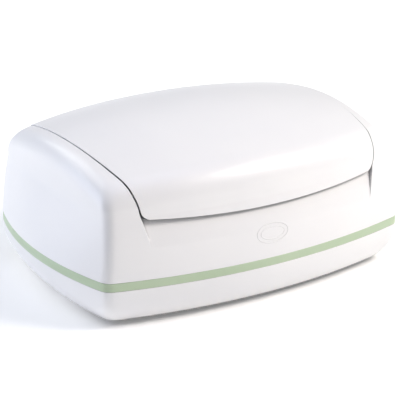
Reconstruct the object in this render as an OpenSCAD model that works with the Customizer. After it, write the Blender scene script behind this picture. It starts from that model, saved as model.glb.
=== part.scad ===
// Baby wipe warmer: a rounded two-part housing with a coloured trim band,
// a wide lid hinged at the rear, and a heated wipe tub inside.
// Origin: centre of the footprint on the surface it stands on. Front is -Y, up is +Z. Millimetres.

/* [Housing] */
// Overall width at the trim band
body_w = 290; // [284:1:296]
// Overall depth at the trim band
body_d = 213; // [209:1:217]
// Height of the housing's crown above the underside
body_h = 128.1; // [127.1:0.2:130.1]
// Wall thickness of the housing shells and the lid
wall = 2.5; // [2:0.1:3]
// Height of the rubber feet
foot_h = 1.5; // [1:0.1:2]

/* [Trim band] */
// Height of the band's middle above the underside
band_z = 34; // [33:0.5:35]
// Height of the band
band_h = 6.6; // [5:0.2:8]

/* [Lid] */
// Height of the lid's front lip at the middle
lip_z = 76.8; // [76.5:0.1:77.6]
// How much the lip rises 100 mm to either side
lip_rise = 4.6; // [4.2:0.1:4.9]
// Seam gap on each side of the seam line
gap = 0.5; // [0.4:0.01:0.55]
// How far the lid stands proud of the housing
proud = 0.5; // [0.3:0.05:0.6]
// Depth of the finger recess under the lip
recess_d = 3.4; // [2.8:0.1:3.8]
// Height at which the finger recess fades out
recess_z = 62; // [60:0.5:64]
// Half width of the lid on the crown
lid_x = 113.5; // [113:0.1:114]

/* [Hinge] */
// Distance of each hinge from the middle
hinge_x = 48; // [40:1:56]
// Radius of the hinge knuckles
knuckle_r = 4.2; // [4:0.1:4.3]
// Radius of the hinge pins
pin_r = 1.5; // [1.2:0.1:1.8]
// Radial clearance of a pin in the lid's knuckle
pin_fit = 0.06; // [0.03:0.01:0.1]

/* [Tub] */
// Inner width of the tub
tub_w = 184; // [178:1:185]
// Inner depth of the tub
tub_d = 112; // [106:1:113]
// Wall of the tub
tub_t = 2; // [1.6:0.1:2]
// Underside of the tub's floor above the underside of the base
tub_z = 18; // [17.5:0.1:18.5]

/* [Power inlet] */
// Position of the inlet along the rear
jack_x = 60; // [56:1:64]
// Height of the inlet
jack_z = 16; // [15:0.5:17]
// Bore of the inlet
jack_bore_r = 2.75; // [2.7:0.05:3]
// Radius of the centre pin
jack_pin_r = 1.05; // [1:0.05:1.3]

/* [Hidden] */
$fn = 48;
white = [0.93, 0.93, 0.94];
green = [0.72, 0.79, 0.68];
grey = [0.55, 0.56, 0.58];
steel = [0.75, 0.76, 0.78];

// ---- outer skin: every level is a bulged rectangle [half x, half y, side bulge, front bulge, corner] ----
sx = 15.3;  sy = 19.6;  rc = 11;
cx = body_w/2 - sx;  cy = body_d/2 - sy;
kx = 14.3;  ky = 16.75;  kxy = -1.55;      // fall of the crown towards sides, front and corners
rx = 12;  ry = 14;  rz = 14;               // rounding between the walls and the crown
wall_z = body_h - kx - ky - kxy - rz;      // top of the walls at the corners
top_sx = 3;  top_sy = 16.6;  top_rc = 10;
low_sx = 8;  low_sy = 16.1;
NF = 8;  NC = 4;  NS = 4;

function quad(p) = let (cx = p[0], cy = p[1], sx = p[2], sy = p[3], rc = p[4],
    Rf = (cx*cx + sy*sy)/(2*sy), Rs = (cy*cy + sx*sx)/(2*sx), yf = Rf - cy - sy, xs = cx + sx - Rs,
    r1 = Rf - rc, r2 = Rs - rc, d = norm([xs, yf]), a = (r1*r1 - r2*r2 + d*d)/(2*d),
    h = sqrt(max(r1*r1 - a*a, 0)), ex = xs/d, ey = -yf/d,
    c1 = [a*ex - h*ey, yf + a*ey + h*ex], c2 = [a*ex + h*ey, yf + a*ey - h*ex],
    c = (c1[0] > 0 && c1[1] < 0) ? c1 : c2, f = atan2(c[1] - yf, c[0]), s = atan2(c[1], c[0] - xs))
    concat([for (i = [0:NF]) let (t = -90 + (f + 90)*i/NF) [Rf*cos(t), yf + Rf*sin(t)]],
           [for (i = [1:NC]) let (t = f + (s - f)*i/NC) [c[0] + rc*cos(t), c[1] + rc*sin(t)]],
           [for (i = [1:NS]) let (t = s*(1 - i/NS)) [xs + Rs*cos(t), Rs*sin(t)]]);
function ring(p) = let (q = quad(p), n = len(q)) concat(q,
    [for (i = [n-2:-1:0]) [q[i][0], -q[i][1]]], [for (i = [1:n-1]) [-q[i][0], -q[i][1]]],
    [for (i = [n-2:-1:1]) [-q[i][0], q[i][1]]]);
// Section at height z, set in by t
function level(z, t) = z < band_z
    ? let (s = 1 - z/band_z, e = pow(s, 3)) [cx - 10*e - t, cy - 13.5*e - t,
        sx + (low_sx - sx)*s, sy + (low_sy - sy)*s, max(rc - t, 1)]
    : let (s = (z - band_z)/(wall_z - band_z)) [cx - 2.41*s - 0.87*s*s - t, cy + 4.76*s - 8.94*s*s - t,
        sx + (top_sx - sx)*s, sy + (top_sy - sy)*s, max(rc + (top_rc - rc)*s - t, 1)];
function crown(x, y, t) = body_h - t - kx*pow(x/cx, 2) - ky*pow(y/cy, 2) - kxy*pow(x/cx, 2)*pow(y/cy, 2);
function flat(p, z) = [for (q = ring(p)) [q[0], q[1], z]];
function round_ring(a, t) = let (w = level(wall_z, t),
    p = [w[0] - (rx - t)*(1 - cos(a)), w[1] - (ry - t)*(1 - cos(a)), w[2], w[3], w[4]])
    [for (q = ring(p)) [q[0], q[1], crown(q[0], q[1], t) - (rz - t)*(1 - sin(a))]];
function scaled_ring(r, k, t) = [for (q = r) [q[0]*k, q[1]*k, crown(q[0]*k, q[1]*k, t)]];
function upper_rings(z0, t) = let (r = round_ring(90, t)) concat(
    [for (z = [z0, 48, 62, 74]) flat(level(z, t), z)], [flat(level(wall_z, t), wall_z)],
    [for (a = [0, 25, 50, 70]) round_ring(a, t)], [r], [for (k = [0.8, 0.55, 0.28]) scaled_ring(r, k, t)]);
// Front face: y of the outer skin at x, z
function front_y(x, z) = let (p = level(min(z, wall_z), 0), R = (p[0]*p[0] + p[3]*p[3])/(2*p[3]))
    R - p[1] - p[3] - sqrt(R*R - x*x);
rear_y = -front_y(0, wall_z);

// Solid through a list of rings that run anticlockwise about their axis; an apex closes a crown
module stack(R, apex = undef) {
    n = len(R[0]);  m = len(R);  P = [for (r = R) each r];
    sides = [for (j = [0:m-2]) for (i = [0:n-1]) let (k = (i+1)%n)
        each [[j*n+i, (j+1)*n+i, (j+1)*n+k], [j*n+i, (j+1)*n+k, j*n+k]]];
    low = [[for (i = [0:n-1]) i]];
    top = is_undef(apex) ? [[for (i = [n-1:-1:0]) (m-1)*n+i]] : [for (i = [0:n-1]) [m*n, (m-1)*n+(i+1)%n, (m-1)*n+i]];
    polyhedron(points = is_undef(apex) ? P : concat(P, [apex]), faces = concat(low, sides, top), convexity = 8);
}
module upper_solid(z0, t) stack(upper_rings(z0, t), [0, 0, body_h - t]);
module rr(w, d, r) { square([w - 2*r, d], center = true); square([w, d - 2*r], center = true);
    for (i = [-1, 1], j = [-1, 1]) translate([i*(w/2 - r), j*(d/2 - r)]) circle(r); }
module slab(w, d, r, z0, z1) translate([0, 0, z0]) linear_extrude(z1 - z0) rr(w, d, r);
module rod(x, y, r, z0, z1) translate([x, y, z0]) cylinder(r = r, h = z1 - z0);
module rod_y(x, z, r, y0, y1) translate([x, y0, z]) rotate([-90, 0, 0]) cylinder(r = r, h = y1 - y0);
module rod_x(y, z, r, x0, x1) translate([x0, y, z]) rotate([0, 90, 0]) cylinder(r = r, h = x1 - x0);
module box3(a, b) translate(a) cube(b - a);
module up() translate([0, 0, foot_h]) children();

// ---- lid outline: the seam runs along the crown's sides and down the front face ----
function lid_top(y) = lid_x - 10.7*pow(y/100, 2);
lean = 0.25;
function lid_side(y, z) = let (c = min(max(y, -80), 80)) lid_top(c) - lean*(crown(lid_top(c), c, 0) - z);
function lip(x) = lip_z + lip_rise*pow(x/100, 2);
seam_rear = 88;
dam_y = 82;
// Centre [x, z] of the arc between the lid's lower edge and its side line
lid_r = 8;
function corner(y, rear) = let (r = rear ? 3 : lid_r, k = r*sqrt(1 + lean*lean),
    x1 = lid_side(y, (rear ? seam_rear : lip(95)) + r) - k, z = (rear ? seam_rear : lip(x1)) + r)
    [lid_side(y, z) - k, z];
// The seam is widest along the front and narrows towards the hinge
function taper(y) = 1 - 0.3*min(max((y + 70)/90, 0), 1);
module lid_prism(g, y0, y1, rear) {
    Y = rear ? [y0, 90, 96, y1] : [y0, -80, -70, -50, -30, -10, 20, 40, 60, y1];
    A = [90 - atan(lean), 55, 34, 16];
    stack([for (y = Y) let (c = corner(y, rear), w = g - sign(g)*min(abs(g), gap)*(1 - taper(y)),
            r = max((rear ? 3 : lid_r) + w, 0.1), xt = lid_side(y, 150) + w*sqrt(1 + lean*lean))
        [for (q = concat([[-xt, 150], [xt, 150]],
            [for (a = A) [c[0] + r*sin(a), c[1] - r*cos(a)]],
            [for (i = [8:-1:-8]) let (x = c[0]*i/8) [x, (rear ? seam_rear : lip(x)) - w]],
            [for (i = [3:-1:0]) [-c[0] - r*sin(A[i]), c[1] - r*cos(A[i])]])) [q[0], y, q[1]]]]);
}
// Space that the lid closes: crown and front (g > 0 is larger)
module lid_space(g) { lid_prism(g, -130, dam_y + g, false); lid_prism(g, dam_y - 1, 130, true); }
// Shallow basin around the tub's mouth
deck_z = 76;
module basin(g) stack([flat([98 + g, 72 + g, 6, 12, 14 + g], deck_z - g), flat([101 + g, 75 + g, 6, 12, 14 + g], 90)]);
// Finger recess under the lip
function recess_depth(z) = let (k = recess_d/(lip_z + 2 - recess_z), v = min(z, 84) - recess_z)
    v > 3 ? k*v : v > -3 ? k*pow(v + 3, 2)/12 : -1.5;
module recess(g) stack([for (z = [recess_z - 6, recess_z - 3.4, recess_z - 3, recess_z, recess_z + 3, 72, 78, 84, 88]) let (
    x1 = lid_side(-80, z) + gap + g, d = recess_depth(z))
    concat([[-x1, -130, z], [x1, -130, z]], [for (i = [8:-1:-8]) let (x = x1*i/8) [x, front_y(x, z) + d + g, z]])]);
module housing_solid() difference() {
    upper_solid(band_z + band_h/2, 0);
    lid_space(gap);
    basin(0);
    recess(0);
}

post = [[106, 45], [-106, 45], [106, -45], [-106, -45], [0, -78], [0, 78]];
lid_post = [[80, 58], [-80, 58], [80, -58], [-80, -58]];
axis_y = rear_y + 0.6;
axis_z = seam_rear;
seat_y = 95;                 // flat seat of the power inlet

module hull_slot(x, y, l) translate([x, y, -1]) hull() { translate([0, -l/2, 0]) cylinder(r = 1.2, h = 6, $fn = 8);
    translate([0, l/2, 0]) cylinder(r = 1.2, h = 6, $fn = 8); }

module base_solid() {
    z1 = band_z - band_h/2;
    stack(concat([flat([for (i = [0:4]) level(0, 0)[i] - (i < 2 ? 0.9 : 0)], 0)],
        [for (z = [0.8, 3, 6.5, 11, 17, 24, z1]) flat(level(z, 0), z)]));
}
module base_shell() color(white) up() {
    z1 = band_z - band_h/2;
    $fn = 20;
    difference() {
        union() {
            difference() {
                base_solid();
                stack([for (z = [wall, 5, 8, 12, 17, 24, z1 + 0.01]) flat(level(z, wall), z)]);
            }
            intersection() { base_solid(); union() {
                for (p = post) rod(p[0], p[1], 4.5, 0, 30);
                rod_y(jack_x, jack_z, 10.5, seat_y - wall, 110);
                for (i = [-1, 1], j = [-1, 1]) rod(57 + i*23, 67 + j*5, 2.6, 0, 12);
            } }
        }
        for (p = post) { rod(p[0], p[1], 1.8, -1, 31); rod(p[0], p[1], 3.3, -1, 5); }
        for (i = [-1, 1], j = [-1, 1]) { rod(92*i, 55*j, 7.2, -1, 0.8); rod(57 + i*23, 67 + j*5, 0.95, 4, 13); }
        rod_y(jack_x, jack_z, 8, seat_y, 110);
        rod_y(jack_x, jack_z, 4.1, 80, 110);
        for (i = [-4:4]) hull_slot(i*10, -10, 46);
    }
}

module trim_band() color(green) up() {
    z0 = band_z - band_h/2;  z1 = band_z + band_h/2;
    n = len(ring(level(0, 0)));
    R = concat([for (z = [z0, band_z, z1]) flat(level(z, 0), z)], [for (z = [z1, z0]) flat(level(z, wall), z)]);
    P = [for (r = R) each r];
    polyhedron(points = P, faces = [for (j = [0:4]) for (i = [0:n-1]) let (k = (i+1)%n, m = (j+1)%5)
        each [[j*n+i, m*n+i, m*n+k], [j*n+i, m*n+k, j*n+k]]], convexity = 8);
}

module upper_shell() color(white) up() difference() {
    $fn = 20;
    union() {
        difference() {
            housing_solid();
            difference() {
                upper_solid(band_z + band_h/2 - 1, wall);
                lid_space(gap + wall);
                basin(wall);
                recess(wall);
            }
        }
        intersection() { housing_solid(); union() {
            for (p = post) rod(p[0], p[1], 4.5, 37.5, 90);
            for (i = [-1, 1], j = [-1, 1]) rod_y(i*hinge_x + j*9, 71, 3.4, 92.6, 105);
            // gussets that stiffen the deck
            for (x = [-75, -45, 45, 75]) for (j = [-1, 1]) hull() {
                box3([x - 1, j*66 - 1, 60], [x + 1, j*66 + 1, 75]); box3([x - 1, j*80 - 1, 66], [x + 1, j*80 + 1, 75]); }
        } }
        // screw posts go on down to the base's posts
        for (p = post) rod(p[0], p[1], 4.5, 30.1, 38);
    }
    for (p = post) rod(p[0], p[1], 1.55, 29, 60);
    slab(tub_w + 2*tub_t + 2, tub_d + 2*tub_t + 2, 6, 70, 80);
    for (i = [-1, 1]) {
        box3([i*hinge_x - 15.2, 89.6, 83], [i*hinge_x + 15.2, 112, 90]);
        for (j = [-1, 1]) rod_y(i*hinge_x + j*9, 71, 1.25, 90, 98);
    }
    for (i = [-1, 1], j = [-1, 1]) rod(i*97, j*30, 1.25, 70, 80);
}

module lid_outer() color(white) up() difference() {
    $fn = 20;
    union() {
        intersection() {
            difference() {
                upper_solid(60, -proud);
                upper_solid(59, wall - proud);
                // the edge is thinned from inside
                difference() { upper_solid(59, 0.9 - proud); lid_space(-gap - 2.2); }
            }
            lid_space(-gap);
        }
        // side skirts that hang into the seam
        difference() {
            intersection() { upper_solid(60, 0.3); lid_space(-gap); }
            lid_prism(-gap - 2, -125, 125, false);
            translate([0, 0, -9]) upper_solid(40, 0);
            box3([-150, -150, 0], [150, -78, 150]);
            box3([-150, 80, 0], [150, 150, 150]);
        }
        // screw posts with ribs
        intersection() { upper_solid(60, 0.5); lid_space(-3); union() {
            for (p = lid_post) {
                rod(p[0], p[1], 4, 86.5, 125);
                hull() { rod(p[0], p[1], 0.9, 96, 125); rod(p[0]*0.84, p[1], 0.9, 110, 125); }
                hull() { rod(p[0], p[1], 0.9, 96, 125); rod(p[0], p[1]*0.76, 0.9, 110, 125); }
            }
        } }
    }
    for (p = lid_post) rod(p[0], p[1], 1.55, 80, 104);
    for (i = [-1, 1]) box3([i*hinge_x - 15.4, 90, 80], [i*hinge_x + 15.4, 112, 93]);
}

panel_z = 84;
module lid_inner() color(white) up() difference() {
    union() {
        translate([0, -3, 0]) slab(200, 164, 20, panel_z, panel_z + 2.5);
        difference() {
            translate([0, -3, 0]) slab(200, 164, 20, panel_z + 1, panel_z + 7);
            translate([0, -3, 0]) slab(196, 160, 18, panel_z, panel_z + 8);
        }
        for (i = [-1, 1]) {
            box3([i*hinge_x - 5.8, 73, panel_z + 1], [i*hinge_x + 5.8, 79, axis_z + knuckle_r]);
            box3([i*hinge_x - 5.8, 73, axis_z + 0.6], [i*hinge_x + 5.8, axis_y, axis_z + knuckle_r]);
            rod_x(axis_y, axis_z, knuckle_r, i*hinge_x - 6, i*hinge_x + 6);
        }
    }
    for (i = [-1, 1]) rod_x(axis_y, axis_z, pin_r + pin_fit, i*hinge_x - 7, i*hinge_x + 7);
    for (p = lid_post) { rod(p[0], p[1], 1.7, 80, 90); rod(p[0], p[1], 3, 80, panel_z + 1.2); }
}

module lid_seal() color(grey) up() difference() {
    slab(tub_w + 8, tub_d + 8, 10, 79.3, panel_z);
    slab(tub_w + 3, tub_d + 3, 7.5, 79, panel_z + 1);
}

module lid_bumpers() color(grey) up() for (i = [-1, 1]) rod(84*i, -79.5, 3.5, panel_z - 1.8, panel_z);

module screw(r, l, hr, hh) { cylinder(r = r, h = l); difference() { translate([0, 0, -hh]) cylinder(r = hr, h = hh);
    translate([-hr*0.55, -0.35, -hh - 1]) cube([hr*1.1, 0.7, 1.6]); translate([-0.35, -hr*0.55, -hh - 1]) cube([0.7, hr*1.1, 1.6]); } }
module lid_screws() color(steel) up() for (p = lid_post) translate([p[0], p[1], panel_z + 1.2]) screw(1.5, 14, 2.8, 1.1);

module hinge_brackets() color(white) up() for (i = [-1, 1]) difference() {
    union() {
        box3([i*hinge_x - 14, 90, 66], [i*hinge_x + 14, 92.5, 83.8]);
        for (j = [-1, 1]) {
            box3([i*hinge_x + j*10.3 - 3.7, 90, 82], [i*hinge_x + j*10.3 + 3.7, 94, 87]);
            box3([i*hinge_x + j*10.3 - 3.7, 92, 83.8], [i*hinge_x + j*10.3 + 3.7, axis_y, 87]);
            rod_x(axis_y, axis_z, knuckle_r, i*hinge_x + j*10.3 - 3.9, i*hinge_x + j*10.3 + 3.9);
        }
    }
    rod_x(axis_y, axis_z, pin_r + 0.01, i*hinge_x - 20, i*hinge_x + 20);
    for (j = [-1, 1]) rod_y(i*hinge_x + j*9, 71, 1.4, 80, 100);
}

module bracket_screws() color(steel) up() for (i = [-1, 1], j = [-1, 1])
    translate([i*hinge_x + j*9, 90, 71]) rotate([-90, 0, 0]) screw(1.2, 7, 2.4, 1.4);

module hinge_pins() color(steel) up() for (i = [-1, 1]) rod_x(axis_y, axis_z, pin_r, i*hinge_x - 14.1, i*hinge_x + 14.1);

module wipe_tub() color([0.9, 0.92, 0.93]) up() difference() {
    union() {
        slab(tub_w + 2*tub_t, tub_d + 2*tub_t, 8, tub_z, 78);
        slab(tub_w + 16, tub_d + 12, 12, 77, 79);
        for (i = [-1, 1], j = [-1, 1]) rod(84*i, 48*j, 4, 10.4, tub_z + 1);
    }
    slab(tub_w, tub_d, 6, tub_z + tub_t, 80);
    for (i = [-1, 1], j = [-1, 1]) { rod(84*i, 48*j, 1.25, 9, 17); rod(i*97, j*30, 1.6, 70, 80); rod(i*97, j*30, 2.5, 78, 80); }
}

module tub_gasket() color(grey) up() difference() {
    slab(tub_w + 14, tub_d + 11, 11.5, deck_z, 77);
    slab(tub_w + 6.6, tub_d + 6.6, 9.3, 75, 78);
    for (i = [-1, 1], j = [-1, 1]) rod(i*97, j*30, 1.5, 70, 80);
}

module tub_screws() color(steel) up() for (i = [-1, 1], j = [-1, 1]) translate([i*97, j*30, 78]) mirror([0, 0, 1]) screw(1.2, 6, 2.3, 0.9);

module moisture_pad() color([0.78, 0.86, 0.74]) up() slab(tub_w - 4, tub_d - 4, 4.5, tub_z + tub_t, tub_z + tub_t + 5);

module heater_plate() color(steel) up() slab(150, 88, 6, tub_z - 1.5, tub_z);
module heater_film() color([0.75, 0.5, 0.2]) up() difference() {
    slab(142, 80, 5, tub_z - 2.3, tub_z - 1.5);
    rod(0, 0, 8.6, 10, 20);
    box3([31, 17, 10], [49, 23, 20]);
}
module insulation_pad() color([0.85, 0.83, 0.78]) up() difference() {
    slab(154, 90, 6, 10.2, tub_z - 2.3);
    rod(0, 0, 8.6, 5, 20);
    box3([31, 17, 5], [49, 23, 20]);
    for (i = [-1, 1]) box3([60, i*10 - 1.6, 12.4], [80, i*10 + 1.6, 20]);
}
module heater_tray() color(grey) up() difference() {
    union() { slab(180, 104, 8, 8.4, 10.2); for (i = [-1, 1], j = [-1, 1]) rod(84*i, 48*j, 5, 8.4, 10.2); }
    rod(0, 0, 9, 5, 20);
    box3([30, 16, 5], [50, 24, 20]);
    for (i = [-1, 1], j = [-1, 1]) rod(84*i, 48*j, 1.5, 5, 20);
    for (i = [-2:2]) box3([i*24 - 4, -42, 5], [i*24 + 4, -22, 20]);
}
module tray_screws() color(steel) up() for (i = [-1, 1], j = [-1, 1]) translate([84*i, 48*j, 8.4]) screw(1.2, 7, 2.4, 1.4);

module thermostat() color([0.2, 0.2, 0.22]) up() {
    rod(0, 0, 8, 9.6, tub_z - 1.5);
    rod(0, 0, 6, 7.4, 9.7);
    for (i = [-1, 1]) box3([i*4 - 1.5, -0.4, 4.2], [i*4 + 1.5, 0.4, 7.5]);
}
module thermal_fuse() color([0.8, 0.75, 0.6]) up() rod_x(20, tub_z - 3.6, 1.9, 34, 46);

module circuit_board() color([0.2, 0.45, 0.3]) up() difference() {
    box3([30, 59, 12], [84, 75, 13.6]);
    for (i = [-1, 1], j = [-1, 1]) rod(57 + i*23, 67 + j*5, 1.3, 10, 15);
}
module board_parts() color([0.15, 0.15, 0.17]) up() {
    box3([40, 60, 13.6], [50, 67, 21]);      // relay
    rod(64, 66, 3, 13.6, 20);                // capacitor
    box3([68, 60.5, 13.6], [77, 66, 19]);    // terminal block
    box3([53, 62, 13.6], [59, 66, 15.2]);    // controller
}
module board_screws() color(steel) up() for (i = [-1, 1], j = [-1, 1])
    translate([57 + i*23, 67 + j*5, 13.6]) mirror([0, 0, 1]) screw(0.9, 8, 1.9, 1.2);

module inlet_jack() color([0.12, 0.12, 0.13]) up() difference() {
    union() { rod_y(jack_x, jack_z, 4, 80, seat_y + 0.5); rod_y(jack_x, jack_z, 5.6, seat_y, seat_y + 1.6); }
    rod_y(jack_x, jack_z, jack_bore_r, 87, seat_y + 3);
    box3([jack_x - 0.6, 78, jack_z - 0.6], [jack_x + 0.6, 88, jack_z + 0.6]);
}
// Round contact with a square tail through the inlet's floor
module jack_pin() color(steel) up() {
    box3([jack_x - 0.6, 78.5, jack_z - 0.6], [jack_x + 0.6, 87.1, jack_z + 0.6]);
    rod_y(jack_x, jack_z, jack_pin_r, 87, seat_y + 0.6);
}
module jack_nut() color(steel) up() difference() {
    translate([jack_x, 90.2, jack_z]) rotate([-90, 0, 0]) cylinder(r = 6.2, h = 2.3, $fn = 6);
    rod_y(jack_x, jack_z, 4, 88, 95);
}

// Round wire along a list of points, 8 sides
function unit(v) = v/max(norm(v), 1e-6);
function tangent(P, i) = unit(P[min(i + 1, len(P) - 1)] - P[max(i - 1, 0)]);
module wire(P, r) {
    R = [for (i = [0:len(P)-1]) let (t = tangent(P, i), u = unit(cross(t, abs(t[2]) > 0.9 ? [0, 1, 0] : [0, 0, 1])), v = cross(t, u))
        [for (k = [0:7]) P[i] + r*(cos(45*k)*u + sin(45*k)*v)]];
    stack(R);
}
// Smooth curve through a list of points, m steps between two of them
function curve(P, m) = concat([for (i = [0:len(P)-2], j = [0:m-1]) let (t = j/m, a = P[max(i - 1, 0)], b = P[i], c = P[i+1],
    d = P[min(i + 2, len(P) - 1)]) 0.5*(2*b + (c - a)*t + (2*a - 5*b + 4*c - d)*t*t + (3*b - a - 3*c + d)*t*t*t)], [P[len(P)-1]]);
module heater_leads() color([0.8, 0.2, 0.15]) up() {
    wire(curve([[71.3, 10, 15], [78, 10, 14.6], [86, 13.5, 13.6], [89.8, 24, 13.5], [89.8, 40, 13.5], [89.3, 49, 13.5],
        [84.5, 54.2, 14], [76, 55, 15], [71.2, 57, 16], [70.5, 59, 16], [70.5, 60.4, 16]], 2), 0.7);
    wire(curve([[71.3, -10, 15], [78, -10, 14.6], [88, -6, 13.6], [92, 6, 13.5], [92, 30, 13.5], [92, 48, 13.5],
        [88, 56, 14], [80, 57.2, 15], [75.6, 57.8, 16], [75, 59, 16], [75, 60.4, 16]], 2), 0.7);
}
module sensor_leads() color([0.85, 0.8, 0.3]) up() for (j = [-1, 1])
    wire(curve([[4*j, 0.45, 5.6], [4*j, 4, 5.6], [5*j + 8, 20, 5.4], [4*j + 24, 34, 5.4], [3*j + 40, 46, 5.6], [3*j + 45, 53.8, 7.4],
        [3*j + 45.5, 55.8, 11], [3*j + 45.5, 57.2, 12.8], [3*j + 45.5, 58.9, 12.8]], 2), 0.6);
module jack_leads() color([0.15, 0.15, 0.15]) up() for (j = [-1, 1])
    wire(curve([[jack_x + 2.6*j, 79.9, jack_z], [jack_x + 2.6*j, 78.2, jack_z], [jack_x + 3.4*j, 75.4, 17], [jack_x + 4*j, 73.4, 16.4],
        [jack_x + 4*j, 73, 15], [jack_x + 4*j, 73, 13.7]], 2), 0.7);

module housing_screws() color(steel) up() for (p = post) translate([p[0], p[1], 5]) screw(1.5, 34, 3.1, 2);
module rubber_feet() color([0.3, 0.3, 0.32]) for (i = [-1, 1], j = [-1, 1]) rod(92*i, 55*j, 7, 0, foot_h + 0.8);

base_shell();
trim_band();
upper_shell();
lid_outer();
lid_inner();
lid_seal();
lid_bumpers();
lid_screws();
hinge_brackets();
bracket_screws();
hinge_pins();
wipe_tub();
tub_gasket();
tub_screws();
moisture_pad();
heater_plate();
heater_film();
insulation_pad();
heater_tray();
tray_screws();
thermostat();
thermal_fuse();
circuit_board();
board_parts();
board_screws();
inlet_jack();
jack_pin();
jack_nut();
heater_leads();
sensor_leads();
jack_leads();
housing_screws();
rubber_feet();
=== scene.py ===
import math
import bpy
import numpy as np
from mathutils import Matrix, Vector
from mathutils.bvhtree import BVHTree


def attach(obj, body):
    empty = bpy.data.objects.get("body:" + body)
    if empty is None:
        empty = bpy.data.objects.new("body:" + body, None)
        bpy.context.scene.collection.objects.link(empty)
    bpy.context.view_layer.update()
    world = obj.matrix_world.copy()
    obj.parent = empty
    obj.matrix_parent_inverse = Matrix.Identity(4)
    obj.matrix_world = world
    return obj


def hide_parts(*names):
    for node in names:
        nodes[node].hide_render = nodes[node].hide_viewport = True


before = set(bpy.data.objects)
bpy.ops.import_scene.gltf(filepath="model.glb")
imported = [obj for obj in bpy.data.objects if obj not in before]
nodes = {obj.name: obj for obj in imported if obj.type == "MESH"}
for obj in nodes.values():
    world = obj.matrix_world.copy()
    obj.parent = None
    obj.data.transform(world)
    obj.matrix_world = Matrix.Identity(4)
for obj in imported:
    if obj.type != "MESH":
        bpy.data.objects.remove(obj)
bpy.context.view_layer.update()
scene = bpy.context.scene
scene.view_settings.view_transform = "Standard"

# ------------------------------------------------------------------ camera
FOOT = 1.5                                   # height of the rubber feet, mm
target = np.array([-8.76, -16.60, 54.41 + FOOT]) / 1000
az, el, dist = math.radians(-31.34), math.radians(21.13), 1.2706
cam = bpy.data.objects.new("camera", bpy.data.cameras.new("camera"))
scene.collection.objects.link(cam)
cam.data.lens, cam.data.sensor_width = 147.43, 36.0
cam.data.clip_start, cam.data.clip_end = 0.05, 60
cam.location = Vector(target + dist * np.array([math.sin(az) * math.cos(el), -math.cos(az) * math.cos(el), math.sin(el)]))
cam.rotation_euler = (Vector(target) - cam.location).to_track_quat("-Z", "Y").to_euler()
scene.camera = cam

# ------------------------------------------------------------------ outer skin, in millimetres, z from the underside
W, D, H, WALL, GAP, PROUD = 290.0, 213.0, 128.1, 2.5, 0.5, 0.5
BAND_Z, BAND_H = 34.0, 6.6
LIP_Z, LIP_RISE, LID_X, LEAN = 76.8, 4.6, 113.5, 0.25
REC_D, REC_Z, LID_R = 3.4, 62.0, 8.0
SX, SY, RC = 15.3, 19.6, 11.0
CX, CY = W / 2 - SX, D / 2 - SY
KX, KY, KXY = 14.3, 16.75, -1.55
RX, RY, RZ = 12.0, 14.0, 14.0
WALL_Z = H - KX - KY - KXY - RZ
TOP_SX, TOP_SY, TOP_RC, LOW_SX, LOW_SY = 3.0, 16.6, 10.0, 8.0, 16.1
SEAM_REAR, DAM_Y, HINGE_X = 88.0, 82.0, 48.0


def quad(p, nf, nc, ns):
    cx, cy, sx, sy, rc = p
    rf, rs = (cx * cx + sy * sy) / (2 * sy), (cy * cy + sx * sx) / (2 * sx)
    yf, xs = rf - cy - sy, cx + sx - rs
    r1, r2, d = rf - rc, rs - rc, math.hypot(xs, yf)
    a = (r1 * r1 - r2 * r2 + d * d) / (2 * d)
    h = math.sqrt(max(r1 * r1 - a * a, 0))
    ex, ey = xs / d, -yf / d
    c1, c2 = (a * ex - h * ey, yf + a * ey + h * ex), (a * ex + h * ey, yf + a * ey - h * ex)
    c = c1 if c1[0] > 0 and c1[1] < 0 else c2
    f, s = math.atan2(c[1] - yf, c[0]), math.atan2(c[1], c[0] - xs)
    t = -math.pi / 2 + (f + math.pi / 2) * np.arange(nf + 1) / nf
    q1 = np.c_[rf * np.cos(t), yf + rf * np.sin(t)]
    t = f + (s - f) * np.arange(1, nc + 1) / nc
    q2 = np.c_[c[0] + rc * np.cos(t), c[1] + rc * np.sin(t)]
    t = s * (1 - np.arange(1, ns + 1) / ns)
    q3 = np.c_[xs + rs * np.cos(t), rs * np.sin(t)]
    return np.vstack([q1, q2, q3])


def ring(p, nf=44, nc=8, ns=30):
    q = quad(p, nf, nc, ns)
    return np.vstack([q, (q * [1, -1])[::-1][1:], (q * [-1, -1])[1:], (q * [-1, 1])[::-1][1:-1]])


def level(z, t=0.0):
    if z < BAND_Z:
        s = 1 - z / BAND_Z
        e = s ** 3
        return np.array([CX - 10 * e - t, CY - 13.5 * e - t, SX + (LOW_SX - SX) * s, SY + (LOW_SY - SY) * s, max(RC - t, 1)])
    s = (z - BAND_Z) / (WALL_Z - BAND_Z)
    return np.array([CX - 2.41 * s - 0.87 * s * s - t, CY + 4.76 * s - 8.94 * s * s - t, SX + (TOP_SX - SX) * s,
                     SY + (TOP_SY - SY) * s, max(RC + (TOP_RC - RC) * s - t, 1)])


def crown(x, y, t=0.0):
    u, v = (x / CX) ** 2, (y / CY) ** 2
    return H - t - KX * u - KY * v - KXY * u * v


def flat(p, z):
    q = ring(p)
    return np.c_[q, np.full(len(q), z)]


def round_p(a, t=0.0):
    return level(WALL_Z, t) - np.array([(RX - t) * (1 - math.cos(a)), (RY - t) * (1 - math.cos(a)), 0, 0, 0])


def round_ring(a, t=0.0):
    q = ring(round_p(a, t))
    return np.c_[q, crown(q[:, 0], q[:, 1], t) - (RZ - t) * (1 - math.sin(a))]


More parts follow.
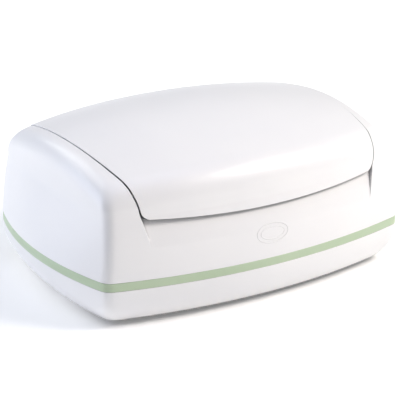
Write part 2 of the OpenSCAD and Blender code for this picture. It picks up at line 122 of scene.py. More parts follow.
def upper_rings(z0, t=0.0):
    zs = [z0] + [z for z in np.arange(38, WALL_Z - 1, 3.0) if z > z0 + 0.5] + [WALL_Z]
    out = [flat(level(z, t), z) for z in zs]
    out += [round_ring(math.radians(a), t) for a in np.linspace(0, 90, 17)]
    r = out[-1]
    for k in [0.97, 0.94, 0.9, 0.86, 0.82, 0.77, 0.72, 0.67, 0.61, 0.55, 0.49, 0.42, 0.35, 0.28, 0.21, 0.14, 0.07]:
        out.append(np.c_[r[:, :2] * k, crown(r[:, 0] * k, r[:, 1] * k, t)])
    return out


def arc_y(p, x):
    r = (p[0] * p[0] + p[3] * p[3]) / (2 * p[3])
    return r - p[1] - p[3] - np.sqrt(r * r - np.asarray(x, float) ** 2)


def front_y(x, z, t=0.0):
    return float(arc_y(level(min(z, WALL_Z), t), x))


def lid_top(y):
    return LID_X - 10.7 * (y / 100) ** 2


def lid_side(y, z):
    c = min(max(y, -80.0), 80.0)
    return lid_top(c) - LEAN * (float(crown(lid_top(c), c)) - z)


def corner(y, rear):
    """Centre and radius of the arc between the lid's lower edge and its side line."""
    r = 3.0 if rear else LID_R
    k = r * math.sqrt(1 + LEAN * LEAN)
    x = 95.0
    for _ in range(6):
        z = (SEAM_REAR if rear else lip(x)) + r
        x = lid_side(y, z) - k
    return x, z, r


def lip(x):
    return LIP_Z + LIP_RISE * (x / 100) ** 2


# ------------------------------------------------------------------ mesh helpers
def new_object(name, verts, faces):
    me = bpy.data.meshes.new(name)
    me.from_pydata([tuple(v) for v in np.asarray(verts, float)], [], faces)
    me.validate()
    me.update()
    ob = bpy.data.objects.new(name, me)
    scene.collection.objects.link(ob)
    return ob


def stack(name, rings, apex=None, closed=False):
    """Closed mesh through rings of equal length; an apex closes the last ring, and closed joins last to first."""
    n, m = len(rings[0]), len(rings)
    v = np.vstack(rings)
    f = []
    for j in range(m if closed else m - 1):
        a, b = j * n, ((j + 1) % m) * n
        for i in range(n):
            k = (i + 1) % n
            f.append((a + i, a + k, b + k, b + i))
    if not closed:
        f.append(tuple(range(n - 1, -1, -1)))
        if apex is None:
            f.append(tuple((m - 1) * n + i for i in range(n)))
        else:
            v = np.vstack([v, apex])
            f += [((m - 1) * n + i, (m - 1) * n + (i + 1) % n, m * n) for i in range(n)]
    ob = new_object(name, v, f)
    fix_volume(ob)
    return ob


def fix_volume(ob):
    """Turns the faces so that the closed mesh has a positive volume."""
    me = ob.data
    me.calc_loop_triangles()
    co = np.empty(len(me.vertices) * 3)
    me.vertices.foreach_get("co", co)
    co = co.reshape(-1, 3)
    tri = np.empty(len(me.loop_triangles) * 3, int)
    me.loop_triangles.foreach_get("vertices", tri)
    a, b, c = (co[tri.reshape(-1, 3)[:, i]] for i in range(3))
    if (np.cross(a, b) * c).sum() < 0:
        me.flip_normals()
    me.update()


def drop(ob):
    me = ob.data
    bpy.data.objects.remove(ob)
    if me.users == 0:
        bpy.data.meshes.remove(me)


def boolean(a, b, op, keep=False):
    m = a.modifiers.new("b", "BOOLEAN")
    m.object, m.operation, m.solver = b, op, "MANIFOLD"
    me = bpy.data.meshes.new_from_object(a.evaluated_get(bpy.context.evaluated_depsgraph_get()))
    a.modifiers.clear()
    old, name = a.data, a.data.name
    a.data = me
    bpy.data.meshes.remove(old)
    me.name = name
    if len(me.polygons) == 0:
        raise RuntimeError("empty boolean on " + a.name)
    if not keep:
        drop(b)
    return a


def cut(a, *bs):
    for b in bs:
        boolean(a, b, "DIFFERENCE")
    return a


def add(a, *bs):
    for b in bs:
        boolean(a, b, "UNION")
    return a


def box3(a, b):
    (x0, y0, z0), (x1, y1, z1) = a, b
    v = [(x0, y0, z0), (x1, y0, z0), (x1, y1, z0), (x0, y1, z0), (x0, y0, z1), (x1, y0, z1), (x1, y1, z1), (x0, y1, z1)]
    return new_object("box", v, [(0, 3, 2, 1), (4, 5, 6, 7), (0, 1, 5, 4), (1, 2, 6, 5), (2, 3, 7, 6), (3, 0, 4, 7)])


def rod(x, y, r, z0, z1, n=48, r2=None):
    t = np.arange(n) * 2 * math.pi / n
    r2 = r if r2 is None else r2
    return stack("rod", [np.c_[x + q * np.cos(t), y + q * np.sin(t), np.full(n, z)] for q, z in ((r, z0), (r2, z1))])


def rod_y(x, z, r, y0, y1, n=48):
    t = np.arange(n) * 2 * math.pi / n
    return stack("rod", [np.c_[x + r * np.cos(t), np.full(n, y), z + r * np.sin(t)] for y in (y0, y1)])


def rr_ring(w, d, r, z, n=12):
    q = []
    for sx, sy, a0 in ((1, -1, -90), (1, 1, 0), (-1, 1, 90), (-1, -1, 180)):
        t = np.radians(a0 + 90 * np.arange(n + 1) / n)
        q.append(np.c_[sx * (w / 2 - r) + r * np.cos(t), sy * (d / 2 - r) + r * np.sin(t)])
    q = np.vstack(q)
    return np.c_[q, np.full(len(q), z)]


def slab(w, d, r, z0, z1):
    return stack("slab", [rr_ring(w, d, r, z) for z in (z0, z1)])


# ------------------------------------------------------------------ closing tools of the seam
def upper_solid(z0, t, name="upper"):
    return stack(name, upper_rings(z0, t), apex=[0, 0, H - t])


def taper(y):
    """The seam is widest along the front and narrows towards the hinge."""
    return 1 - 0.3 * min(max((y + 70) / 90, 0), 1)


def lid_prism(g, y0, y1, rear):
    """Solid that the lid's outline sweeps from y0 to y1; g enlarges it."""
    ys = [y0] + [y for y in np.arange(-100, 101, 5.0) if y0 < y < y1] + [y1]
    lean = math.atan(LEAN)
    rings = []
    for y in ys:
        xc, zc, r = corner(y, rear)
        w = g - math.copysign(min(abs(g), GAP), g) * (1 - taper(y))
        r = max(r + w, 0.1)
        xt = lid_side(y, 150) + w / math.cos(lean)
        arc = [(xc + r * math.sin(a), zc - r * math.cos(a)) for a in np.linspace(math.pi / 2 - lean, 0, 14)[:-1]]
        q = [(-xt, 150.0), (xt, 150.0)] + arc
        q += [(xc * u, (SEAM_REAR if rear else lip(xc * u)) - w) for u in np.linspace(1, -1, 61)]
        q += [(-x, z) for x, z in arc[::-1]]
        rings.append(np.array([(x, y, z) for x, z in q]))
    return stack("prism", rings)


def lid_space(ob, g, op):
    """Cuts ob with, or keeps only, the space that the lid closes."""
    a, b = lid_prism(g, -130, DAM_Y + g, False), lid_prism(g, DAM_Y - 1, 130, True)
    add(a, b)
    return boolean(ob, a, op)


def basin(g):
    return stack("basin", [flat([98 + g, 72 + g, 6, 12, 14 + g], 76 - g), flat([101 + g, 75 + g, 6, 12, 14 + g], 90)])


def rec_depth(z):
    s, h = REC_D / (LIP_Z + 2 - REC_Z), 3.0
    z = min(z, 84.0)
    return s * (z - REC_Z) if z > REC_Z + h else s * (z - REC_Z + h) ** 2 / (4 * h) if z > REC_Z - h else -1.5


def recess(g, round_r=0.0):
    """Finger recess under the lip: full depth at the lip, fading out downwards, with rounded side edges."""
    rings = []
    for z in [REC_Z - 6, REC_Z - 3.4] + list(np.arange(REC_Z - 3, 88.1, 0.75)):
        x1 = lid_side(-80, z) + GAP + g
        d = rec_depth(z)
        r = min(round_r, max(d, 0.0), 0.2 + max(88.0 - z, 0) * 0.08)
        q = [(-x1 - r - 0.05, -130.0), (x1 + r + 0.05, -130.0)]
        side = []
        for a in np.radians([8, 25, 42, 58, 74, 90]):
            x = x1 + r - r * math.sin(a)
            side.append((x, front_y(x, z) + (r - r * math.cos(a) if r > 0 else min(d, 0.0)) + g))
        inner = [(x1 * u, front_y(x1 * u, z) + d + g) for u in np.linspace(0.995, -0.995, 71)]
        q += side + inner + [(-x, y) for x, y in side[::-1]]
        rings.append(np.array([(x, y, z) for x, y in q]))
    return stack("recess", rings)


# ------------------------------------------------------------------ seam line on the skin
def wall_top(x, t):
    """Height at which the wall turns into the rounding, at x."""
    return float(crown(x, float(arc_y(level(WALL_Z, t), x)), t)) - RZ + t


def skin(x, tau, t):
    """Front half of the skin in the plane x: tau 0 to 1 is the wall from z 60, 1 to 2 the rounding, 2 to 3 the crown."""
    if tau <= 1:
        z = 60 + tau * (wall_top(x, t) - 60)
        return np.array([x, front_y(x, z, t), z])
    if tau <= 2:
        a = (tau - 1) * math.pi / 2
        y = float(arc_y(round_p(a, t), x))
        return np.array([x, y, float(crown(x, y, t)) - (RZ - t) * (1 - math.sin(a))])
    y = float(arc_y(round_p(math.pi / 2, t), x)) * (3 - tau)
    return np.array([x, y, float(crown(x, y, t))])


def skin_normal(x, tau, t, rear):
    h = 1e-3
    a, b = skin(x + h, tau, t) - skin(x - h, tau, t), skin(x, min(tau + h, 3), t) - skin(x, tau - h, t)
    n = np.cross(a, b)
    n /= np.linalg.norm(n)
    if n[1] > 0:
        n = -n
    if tau > 2 and n[2] < 0:
        n = -n
    return n * ([1, -1, 1] if rear else [1, 1, 1])


def seam_half(rear, t):
    """Right half of the seam's front or rear part: from the middle of the lower edge out, up the side, to the crown's middle."""
    xc, zc, r = corner(-80, rear)
    pts = [(x, SEAM_REAR if rear else lip(x)) for x in np.linspace(0, xc, 60)]
    pts += [(xc + r * math.sin(a), zc - r * math.cos(a)) for a in np.linspace(0, math.pi / 2 - math.atan(LEAN), 16)[1:]]
    out = []
    for x, z in pts:
        out.append((x, (z - 60) / (wall_top(x, t) - 60)))
    for tau in list(np.linspace(out[-1][1], 1, 24)[1:]) + list(np.linspace(1, 2, 26)[1:]) + list(np.linspace(2, 3, 40)[1:]):
        x = lid_side(-80, 95)
        for _ in range(30):
            p = skin(x, tau, t)
            x = 0.5 * x + 0.5 * lid_side(-abs(p[1]), p[2])
        out.append((x, tau))
    s = np.array([[1, -1 if rear else 1, 1]])
    return np.array([skin(x, v, t) for x, v in out]) * s, np.array([skin_normal(x, v, t, rear) for x, v in out])


def seam_line(t):
    pf, nf = seam_half(False, t)
    pr, nr = seam_half(True, t)
    right_p, right_n = np.vstack([pf, pr[::-1][1:]]), np.vstack([nf, nr[::-1][1:]])
    m = np.array([[-1, 1, 1]])
    p = np.vstack([right_p, (right_p * m)[::-1][1:-1]])
    n = np.vstack([right_n, (right_n * m)[::-1][1:-1]])
    keep = [0]
    for i in range(1, len(p)):
        if np.linalg.norm(p[i] - p[keep[-1]]) > 0.05:
            keep.append(i)
    return p[keep], n[keep]


def router(t=0.0, r=0.25):
    """Ring-shaped cutter that follows the seam on the skin set in by t and rounds both of the seam's edges."""
    p, n = seam_line(t)
    f = np.roll(p, -1, 0) - np.roll(p, 1, 0)
    f /= np.linalg.norm(f, axis=1)[:, None]
    m = np.cross(n, f)
    m /= np.linalg.norm(m, axis=1)[:, None]
    a0 = math.radians(12)
    rings = []
    for i in range(len(p)):
        g = GAP * taper(p[i][1])
        arc = [(g + r - r * math.sin(a), -r + r * math.cos(a)) for a in np.linspace(a0, math.pi / 2, 7)]
        top = (arc[0][0] + 0.45 * math.cos(a0), arc[0][1] + 0.45 * math.sin(a0))
        half = [(top[0], 1.2), top] + arc + [(g, -r - 0.1)]
        sec = [(-u, v) for u, v in half] + half[::-1]
        rings.append(p[i] + np.outer([u for u, _ in sec], m[i]) + np.outer([v for _, v in sec], n[i]))
    return stack("router", rings, closed=True)


# ------------------------------------------------------------------ shading of the cut shells
def source_of(ob):
    me = ob.data
    me.calc_loop_triangles()
    co = [v.co.copy() for v in me.vertices]
    tri = [tuple(t.vertices) for t in me.loop_triangles]
    nor = np.array([v.normal for v in me.vertices])
    return BVHTree.FromPolygons(co, tri), co, tri, nor


def shade(ob, sources=(), angle=32, tol=0.03):
    """Smooth shading with sharp edges by angle; faces on the outer skin take the skin's own normals."""
    me = ob.data
    me.shade_smooth()
    me.set_sharp_from_angle(angle=math.radians(angle))
    if not sources:
        return ob
    me.update()
    nor = np.empty(len(me.loops) * 3, np.float32)
    me.corner_normals.foreach_get("vector", nor)
    nor = nor.reshape(-1, 3)
    co = [v.co for v in me.vertices]
    for bvh, sco, stri, snor in sources:
        cache = {}

        def at(i):
            if i not in cache:
                loc, _, fi, d = bvh.find_nearest(co[i])
                a, b, c = stri[fi]
                va, vb, vc = sco[a], sco[b], sco[c]
                v0, v1, v2 = vb - va, vc - va, loc - va
                d00, d01, d11, d20, d21 = v0.dot(v0), v0.dot(v1), v1.dot(v1), v2.dot(v0), v2.dot(v1)
                den = d00 * d11 - d01 * d01
                u = (d11 * d20 - d01 * d21) / den if den else 0.0
                w = (d00 * d21 - d01 * d20) / den if den else 0.0
                n = snor[a] * (1 - u - w) + snor[b] * u + snor[c] * w
                cache[i] = (d, n / (np.linalg.norm(n) or 1))
            return cache[i]

        for poly in me.polygons:
            pn = np.array(poly.normal)
            rows = [at(i) for i in poly.vertices]
            if all(d < tol and float(pn @ n) > 0.96 for d, n in rows):
                for li, (_, n) in zip(poly.loop_indices, rows):
                    nor[li] = n
    me.normals_split_custom_set([tuple(x) for x in nor])
    return ob


def to_metres(ob, lift=FOOT):
    me = ob.data
    co = np.empty(len(me.vertices) * 3)
    me.vertices.foreach_get("co", co)
    co = co.reshape(-1, 3)
    co[:, 2] += lift
    me.vertices.foreach_set("co", (co / 1000).ravel())
    me.update()
    return ob


def piece(ob, name, body, material, replaces=()):
    ob.name = ob.data.name = name
    ob.data.materials.clear()
    ob.data.materials.append(material)
    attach(ob, body)
    if replaces:
        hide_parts(*replaces)
    return ob


# ------------------------------------------------------------------ materials
class Mat:
    """Principled material with nodes for grain, tone and painted shade close under edges and in crevices."""

    def __init__(self, name, color, rough=0.35, metallic=0.0, **sockets):
        self.m = bpy.data.materials.new(name)
        self.m.use_nodes = True
        self.t = self.m.node_tree
        self.b = self.t.nodes["Principled BSDF"]
        self.color, self.rough = color, rough
        self.b.inputs["Base Color"].default_value = (*color, 1)
        self.b.inputs["Roughness"].default_value = rough
        self.b.inputs["Metallic"].default_value = metallic
        for k, v in sockets.items():
            self.b.inputs[k.replace("_", " ")].default_value = v
        self.coord = self.t.nodes.new("ShaderNodeTexCoord")

    def node(self, kind, **props):
        n = self.t.nodes.new(kind)
        for k, v in props.items():
            if k in n.inputs:
                n.inputs[k].default_value = v
            else:
                setattr(n, k, v)
        return n

    def link(self, a, b):
        self.t.links.new(a, b)

    def noise(self, scale, detail=3.0, rough=0.5, stretch=None):
        n = self.node("ShaderNodeTexNoise", Scale=scale, Detail=detail, Roughness=rough)
        if stretch:
            mp = self.node("ShaderNodeMapping")
            mp.inputs["Scale"].default_value = stretch
            self.link(self.coord.outputs["Object"], mp.inputs["Vector"])
            self.link(mp.outputs["Vector"], n.inputs["Vector"])
        else:
            self.link(self.coord.outputs["Object"], n.inputs["Vector"])
        return n

    def ramp(self, src, lo, hi, a, b):
        r = self.node("ShaderNodeMapRange")
        r.inputs["From Min"].default_value, r.inputs["From Max"].default_value = lo, hi
        r.inputs["To Min"].default_value, r.inputs["To Max"].default_value = a, b
        self.link(src, r.inputs["Value"])
        return r

    def tone(self, scale, amount, tint=(0, 0, 0), detail=2.0, stretch=None):
        """Base colour that varies softly round its mean."""
        n = self.noise(scale, detail, stretch=stretch)
        mix = self.node("ShaderNodeMix", data_type="RGBA")
        r = self.ramp(n.outputs["Fac"], 0.3, 0.7, 0.0, 1.0)
        self.link(r.outputs["Result"], mix.inputs["Factor"])
        a = [max(0, min(1, c * (1 - amount) - t / 2)) for c, t in zip(self.color, tint)]
        b = [max(0, min(1, c * (1 + amount) + t / 2)) for c, t in zip(self.color, tint)]
        mix.inputs[6].default_value, mix.inputs[7].default_value = (*a, 1), (*b, 1)
        self.link(mix.outputs[2], self.b.inputs["Base Color"])
        return self

    def gloss(self, scale, spread, detail=3.0, stretch=None):
        n = self.noise(scale, detail, stretch=stretch)
        r = self.ramp(n.outputs["Fac"], 0.3, 0.7, max(self.rough - spread, 0.02), min(self.rough + spread, 1))
        self.link(r.outputs["Result"], self.b.inputs["Roughness"])
        return self

    def bump(self, scale, height_mm, detail=2.0, strength=1.0, kind="noise", stretch=None):
        if kind == "noise":
            src = self.noise(scale, detail, stretch=stretch).outputs["Fac"]
        elif kind == "cells":
            n = self.node("ShaderNodeTexVoronoi", Scale=scale, feature="F1")
            self.link(self.coord.outputs["Object"], n.inputs["Vector"])
            src = n.outputs["Distance"]
        bp = self.node("ShaderNodeBump", Strength=strength, Distance=height_mm / 1000)
        self.link(src, bp.inputs["Height"])
        prev = self.b.inputs["Normal"].links
        if prev:
            self.link(prev[0].from_socket, bp.inputs["Normal"])
        self.link(bp.outputs["Normal"], self.b.inputs["Normal"])
        return self

    def painted_gap_shade(self, reach_mm, dark):
        """Painted shade: an ambient occlusion node darkens the base colour down in crevices and close under edges, such
        as under the lid's lip, strongest at the front and fading out before the middle.
        """
        ao = self.node("ShaderNodeAmbientOcclusion", Distance=reach_mm / 1000, samples=12)
        r = self.ramp(ao.outputs["AO"], 0.3, 0.85, dark, 1.0)
        xyz = self.node("ShaderNodeSeparateXYZ")
        self.link(self.coord.outputs["Object"], xyz.inputs[0])
        # painted shade limit by depth: full darkening at the front, none behind y -0.02 m
        front_shade_limit = self.ramp(xyz.outputs["Y"], -0.08, -0.02, dark, 1.0)
        self.link(front_shade_limit.outputs["Result"], r.inputs["To Min"])
        mul = self.node("ShaderNodeVectorMath", operation="SCALE")
        self.link(self.b.inputs["Base Color"].links[0].from_socket, mul.inputs[0])
        self.link(r.outputs["Result"], mul.inputs["Scale"])
        self.link(mul.outputs[0], self.b.inputs["Base Color"])
        return self


M = {
    # gloss_white carries painted shade: its base colour darkens in crevices and under the lid's lip at the front
    "white": Mat("gloss_white", (0.87, 0.865, 0.87), 0.36, Coat_Weight=0.12, Coat_Roughness=0.2, Specular_IOR_Level=0.5)
    .tone(14, 0.012, (0.006, 0.002, -0.006)).gloss(60, 0.03).bump(1400, 0.004, 2).bump(9, 0.05, 1, 0.4).painted_gap_shade(6, 0.12),
    "inner": Mat("satin_white", (0.84, 0.84, 0.85), 0.42).tone(25, 0.015).gloss(80, 0.05).bump(1800, 0.012, 3),
    "band": Mat("green_band", (0.49, 0.60, 0.42), 0.36, Specular_IOR_Level=0.45).tone(35, 0.02, (0.01, 0.0, 0.01)).gloss(90, 0.04).bump(1500, 0.008, 2),
    "tub": Mat("tub_plastic", (0.80, 0.83, 0.85), 0.22, Coat_Weight=0.15, Coat_Roughness=0.1).tone(20, 0.02).gloss(50, 0.04).bump(1500, 0.006, 2),
    "silicone": Mat("silicone", (0.66, 0.69, 0.69), 0.55).tone(60, 0.03).gloss(120, 0.06).bump(2500, 0.02, 3),
    "rubber": Mat("rubber", (0.10, 0.105, 0.11), 0.62).tone(60, 0.08).gloss(150, 0.08).bump(2200, 0.04, 4),
    "steel": Mat("zinc_steel", (0.62, 0.63, 0.65), 0.3, 1.0).tone(120, 0.05).gloss(300, 0.08, stretch=(1, 1, 6)).bump(2500, 0.006, 3),
    "alu": Mat("rolled_aluminium", (0.74, 0.75, 0.77), 0.32, 1.0).tone(40, 0.03, stretch=(1, 12, 12)).gloss(160, 0.08, stretch=(1, 14, 14)).bump(700, 0.01, 3, stretch=(1, 20, 20)),
    "film": Mat("polyimide_film", (0.62, 0.33, 0.06), 0.18, Coat_Weight=0.4, Coat_Roughness=0.08).tone(90, 0.12).gloss(60, 0.05).bump(300, 0.02, 2),
    "foam": Mat("felt", (0.66, 0.63, 0.56), 0.95, Sheen_Weight=0.3).tone(400, 0.12, detail=5.0).bump(1600, 0.12, 6),
    "greenfoam": Mat("open_foam", (0.50, 0.66, 0.46), 0.92).tone(500, 0.12, detail=4.0).bump(900, 0.5, 2, kind="cells"),
    "grey": Mat("grey_plastic", (0.34, 0.35, 0.37), 0.45).tone(50, 0.04).gloss(90, 0.06).bump(1800, 0.015, 3),
    "black": Mat("black_plastic", (0.016, 0.016, 0.018), 0.38).tone(60, 0.1).gloss(90, 0.06).bump(1800, 0.012, 3),
    "ceramic": Mat("ceramic", (0.60, 0.52, 0.36), 0.5).tone(200, 0.06).bump(1500, 0.02, 3),
    "board": Mat("board_green", (0.03, 0.14, 0.06), 0.3, Coat_Weight=0.3, Coat_Roughness=0.15).tone(260, 0.15).bump(900, 0.015, 2),
    "brass": Mat("plated_brass", (0.66, 0.52, 0.24), 0.24, 1.0).tone(200, 0.06).gloss(300, 0.07).bump(2500, 0.004, 2),
    "red": Mat("red_wire", (0.45, 0.02, 0.015), 0.42).tone(120, 0.06).gloss(150, 0.06).bump(2500, 0.01, 2),
    "yellow": Mat("yellow_wire", (0.62, 0.47, 0.06), 0.42).tone(120, 0.06).gloss(150, 0.06).bump(2500, 0.01, 2),
    "blackwire": Mat("black_wire", (0.012, 0.012, 0.013), 0.42).tone(120, 0.1).gloss(150, 0.06).bump(2500, 0.01, 2),
}

cad_look = {
    "lid_inner": "inner", "lid_seal": "silicone", "lid_bumpers": "rubber", "lid_screws": "steel", "hinge_brackets": "inner",
    "bracket_screws": "steel", "hinge_pins": "steel", "wipe_tub": "tub", "tub_gasket": "silicone", "tub_screws": "steel",
    "moisture_pad": "greenfoam", "heater_plate": "alu", "heater_film": "film", "insulation_pad": "foam", "heater_tray": "grey",
    "tray_screws": "steel", "thermostat": "black", "thermal_fuse": "ceramic", "circuit_board": "board", "board_parts": "black",
    "board_screws": "steel", "inlet_jack": "black", "jack_pin": "brass", "jack_nut": "steel", "heater_leads": "red",
    "sensor_leads": "yellow", "jack_leads": "blackwire", "housing_screws": "steel", "rubber_feet": "rubber",
}
for name, key in cad_look.items():
    me = nodes[name].data
    me.materials.clear()
    me.materials.append(M[key].m)

# ------------------------------------------------------------------ upper shell and lid
posts = [(106, 45), (-106, 45), (106, -45), (-106, -45), (0, -78), (0, 78)]
lid_posts = [(80, 58), (-80, 58), (80, -58), (-80, -58)]
BAND_TOP, BAND_LOW = BAND_Z + BAND_H / 2, BAND_Z - BAND_H / 2
V = 0.22                                     # fine chamfer along the trim band's edges

outer = upper_solid(BAND_TOP, 0)
outer_source = source_of(outer)
seam_tool = router()


def copy_of(ob, name="copy"):
    c = ob.copy()
    c.data = ob.data.copy()
    c.name = name
    scene.collection.objects.link(c)
    return c


def housing(name):
    """Outer form of the upper shell before it is hollowed."""
    rings = upper_rings(BAND_TOP, 0)
    low = flat(level(BAND_TOP) - np.array([V, V, 0, 0, 0]), BAND_TOP)
    rings = [low, flat(level(BAND_TOP + V), BAND_TOP + V)] + rings[1:]
    ob = stack(name, rings, apex=[0, 0, H])
    lid_space(ob, GAP, "DIFFERENCE")
    boolean(ob, copy_of(seam_tool), "DIFFERENCE")
    return cut(ob, basin(0), recess(0, 0.7))


upper = housing("upper")
hollow = upper_solid(BAND_TOP - 1, WALL)
lid_space(hollow, GAP + WALL, "DIFFERENCE")
cut(hollow, basin(WALL), recess(WALL))
cut(upper, hollow)
limit = housing("limit")
inside = rod(*posts[0], 4.5, 37.5, 90)
for p in posts[1:]:
    add(inside, rod(*p, 4.5, 37.5, 90))
for i in (-1, 1):
    for j in (-1, 1):
        add(inside, rod_y(i * HINGE_X + j * 9, 71, 3.4, 92.6, 105))
boolean(inside, limit, "INTERSECT")
add(upper, inside)
for p in posts:
    add(upper, rod(*p, 4.5, 30.1, 38))
for p in posts:
    cut(upper, rod(*p, 1.55, 29, 60))
cut(upper, slab(190, 118, 6, 70, 80))
for i in (-1, 1):
    cut(upper, box3([i * HINGE_X - 15.2, 89.6, 83], [i * HINGE_X + 15.2, 112, 90]))
    for j in (-1, 1):
        cut(upper, rod_y(i * HINGE_X + j * 9, 71, 1.25, 90, 98), rod(i * 97, j * 30, 1.25, 70, 80))
shade(upper, [outer_source])
piece(to_metres(upper), "upper_shell_skin", "housing", M["white"].m, ["upper_shell"])

drop(outer)
drop(seam_tool)
lid = upper_solid(BAND_TOP, -PROUD, "lid")
lid_source = source_of(lid)
seam_tool = router(-PROUD)
cut(lid, upper_solid(30, WALL - PROUD))
rebate = upper_solid(30, 0.9 - PROUD)
lid_space(rebate, -GAP - 2.2, "DIFFERENCE")
cut(lid, rebate)
lid_space(lid, -GAP, "INTERSECT")
boolean(lid, copy_of(seam_tool), "DIFFERENCE")
skirt = upper_solid(60, 0.3)
lid_space(skirt, -GAP, "INTERSECT")
under = upper_solid(40, 0)
under.data.transform(Matrix.Translation((0, 0, -9)))
cut(skirt, lid_prism(-GAP - 2, -125, 125, False), under, box3([-150, -150, 0], [150, -78, 150]), box3([-150, 80, 0], [150, 150, 150]))
boolean(skirt, copy_of(seam_tool), "DIFFERENCE")
add(lid, skirt)
keep_in = upper_solid(60, 0.5)
lid_space(keep_in, -3, "INTERSECT")
inside = rod(*lid_posts[0], 4, 86.5, 125)
for p in lid_posts[1:]:
    add(inside, rod(*p, 4, 86.5, 125))
for x, y in lid_posts:
    sx, sy = math.copysign(1, x), math.copysign(1, y)
    add(inside, box3([min(x, x - sx * 13), y - 0.9, 100], [max(x, x - sx * 13), y + 0.9, 125]),
        box3([x - 0.9, min(y, y - sy * 14), 100], [x + 0.9, max(y, y - sy * 14), 125]))
boolean(inside, keep_in, "INTERSECT")
add(lid, inside)
for p in lid_posts:
    cut(lid, rod(*p, 1.55, 80, 104))
for i in (-1, 1):
    cut(lid, box3([i * HINGE_X - 15.4, 90, 80], [i * HINGE_X + 15.4, 112, 93]))
shade(lid, [lid_source])
piece(to_metres(lid), "lid_skin", "lid", M["white"].m, ["lid_outer"])
drop(seam_tool)

# ------------------------------------------------------------------ base and trim band
low_z = [0.0, 0.12, 0.45, 0.95, 1.5, 3, 5, 7.5, 10, 13, 16, 20, 25, BAND_LOW - V, BAND_LOW]


def base_ring(z):
    q = 1.5 - math.sqrt(max(1.5 ** 2 - (1.5 - z) ** 2, 0)) if z < 1.5 else 0.0
    q = V if z == BAND_LOW else q
    return flat(level(z) - np.array([q, q, 0, 0, 0]), z)


base = stack("base", [base_ring(z) for z in low_z])
base_source = source_of(base)
base_limit = copy_of(base)
cut(base, stack("hollow", [flat(level(z, WALL), z) for z in [WALL, 5, 8, 12, 17, 24, BAND_LOW + 0.01]]))
inside = rod(*posts[0], 4.5, 0, 30)
for p in posts[1:]:
    add(inside, rod(*p, 4.5, 0, 30))
JX, JZ, SEAT = 60, 16, 95
add(inside, rod_y(JX, JZ, 10.5, SEAT - WALL, 110, 64))
for i in (-1, 1):
    for j in (-1, 1):
        add(inside, rod(57 + i * 23, 67 + j * 5, 2.6, 0, 12))
boolean(inside, base_limit, "INTERSECT")
add(base, inside)
for p in posts:
    cut(base, rod(*p, 1.8, -1, 31), rod(*p, 3.3, -1, 5))
for i in (-1, 1):
    for j in (-1, 1):
        cut(base, rod(92 * i, 55 * j, 7.2, -1, 0.8, 64), rod(57 + i * 23, 67 + j * 5, 0.95, 4, 13))
cut(base, rod_y(JX, JZ, 8, SEAT, 110, 64), rod_y(JX, JZ, 4.1, 80, 110))
for i in range(-4, 5):
    t = np.radians(np.arange(0, 360, 15))
    q = np.c_[i * 10 + 1.2 * np.cos(t), -10 + 1.2 * np.sin(t) + np.where(np.sin(t) > 1e-9, 23, np.where(np.sin(t) < -1e-9, -23, np.where(np.cos(t) > 0, 23, -23)))]
    cut(base, stack("slot", [np.c_[q, np.full(len(q), z)] for z in (-1, 5)]))
shade(base, [base_source])
piece(to_metres(base), "base_shell_skin", "housing", M["white"].m, ["base_shell"])

dv = np.array([V, V, 0, 0, 0])
zb = list(np.linspace(BAND_LOW + V, BAND_TOP - V, 6))
band = stack("band", [flat(level(BAND_LOW) - dv, BAND_LOW)] + [flat(level(z), z) for z in zb] + [flat(level(BAND_TOP) - dv, BAND_TOP)]
             + [flat(level(BAND_TOP, WALL), BAND_TOP), flat(level(BAND_LOW, WALL), BAND_LOW)], closed=True)
shade(band)
piece(to_metres(band), "trim_band_skin", "housing", M["band"].m, ["trim_band"])

# ------------------------------------------------------------------ plain raised oval on the front, one ring in another
def relief(name, path, closed, width=0.9, height=0.28):
    """Low rounded ridge along a path of (x, z) points on the front face."""
    path = np.asarray(path, float)
    n = len(path)
    rings = []
    for i in range(n):
        a, b = path[(i - 1) % n if closed else max(i - 1, 0)], path[(i + 1) % n if closed else min(i + 1, n - 1)]
        t = (b - a) / np.linalg.norm(b - a)
        s = np.array([t[1], -t[0]])
        end = 1.0 if closed else min(1.0, math.sqrt(max(1 - (1 - min(i, n - 1 - i) / 3.0) ** 2, 0.02)) if min(i, n - 1 - i) < 3 else 1.0)
        r = []
        for k in range(12):
            u = 2 * math.pi * k / 12
            off, up = 0.5 * width * end * math.cos(u), math.sin(u)
            x, z = path[i] + s * off
            r.append((x, front_y(x, z) + max(rec_depth(z), 0.0) - (height * end * up if up > 0 else 0.4 * up), z))
        rings.append(np.array(r))
    ob = stack(name, rings, closed=closed)
    shade(ob, angle=60)
    return piece(to_metres(ob), name, "housing", M["white"].m)


t = np.linspace(0, 2 * math.pi, 97)[:-1]
relief("front_oval", np.c_[13.5 * np.cos(t), 56.5 + 7.4 * np.sin(t)], True)
relief("front_oval_inner", np.c_[10.2 * np.cos(t), 56.5 + 4.6 * np.sin(t)], True, 0.8, 0.2)

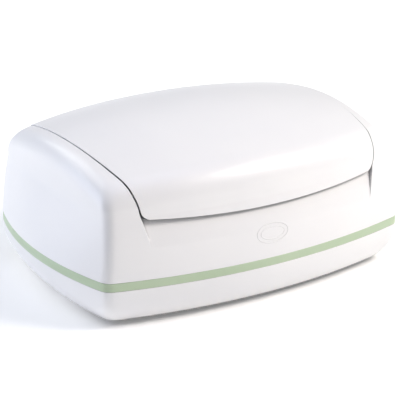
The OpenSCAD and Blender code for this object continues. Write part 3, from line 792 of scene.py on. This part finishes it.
# ------------------------------------------------------------------ floor and light
floor = new_object("floor", [(-4, -4, 0), (4, -4, 0), (4, 4, 0), (-4, 4, 0)], [(0, 1, 2, 3)])
fm = Mat("pale_floor", (0.9, 0.9, 0.9), 0.6)
fm.b.inputs["Emission Color"].default_value = (1, 1, 1, 1)
far = fm.node("ShaderNodeVectorMath", operation="LENGTH")
fm.link(fm.coord.outputs["Object"], far.inputs[0])
glow = fm.ramp(far.outputs["Value"], 0.28, 0.9, 0.2, 0.5)     # keeps the far floor as pale as the near floor
fm.link(glow.outputs["Result"], fm.b.inputs["Emission Strength"])
fm.tone(3, 0.004)
floor.data.materials.append(fm.m)

world = bpy.data.worlds.new("studio")
world.use_nodes = True
world.node_tree.nodes["Background"].inputs["Color"].default_value = (0.95, 0.97, 1.0, 1)
wn = world.node_tree                                              # a pale horizon that fades upwards
way, sep, sky = (wn.nodes.new("ShaderNode" + k) for k in ("TexCoord", "SeparateXYZ", "MapRange"))
for k, v in (("From Min", 0.0), ("From Max", 0.24), ("To Min", 0.4), ("To Max", 0.0)):
    sky.inputs[k].default_value = v
wn.links.new(way.outputs["Generated"], sep.inputs[0])
wn.links.new(sep.outputs["Z"], sky.inputs["Value"])
wn.links.new(sky.outputs["Result"], wn.nodes["Background"].inputs["Strength"])
scene.world = world


def softbox(name, azim, elev, away, size, power, color, size_y=None):
    """Area light that faces the object's middle."""
    a, e = math.radians(azim), math.radians(elev)
    o = bpy.data.objects.new(name, bpy.data.lights.new(name, "AREA"))
    o.data.shape, o.data.size, o.data.size_y = "RECTANGLE", size, size_y or size
    o.data.energy, o.data.color = power, color
    o.location = Vector((math.sin(a) * math.cos(e), -math.cos(a) * math.cos(e), math.sin(e))) * away + Vector((0, 0, 0.06))
    o.rotation_euler = (Vector((0, 0, 0.06)) - o.location).to_track_quat("-Z", "Y").to_euler()
    scene.collection.objects.link(o)
    return o


softbox("left_low", -122, 14, 1.9, 1.0, 12.9, (0.76, 0.82, 1.0))
softbox("left_high", -150, 42, 1.9, 1.1, 14.6, (0.98, 1.0, 0.97))
softbox("right", 100, 20, 1.9, 1.1, 5.6, (0.95, 1.0, 0.85))
softbox("key", 47, 43, 1.9, 0.7, 30.4, (1.0, 0.945, 0.89))
softbox("top", 0, 86, 1.9, 1.4, 12, (0.72, 0.77, 1.0))
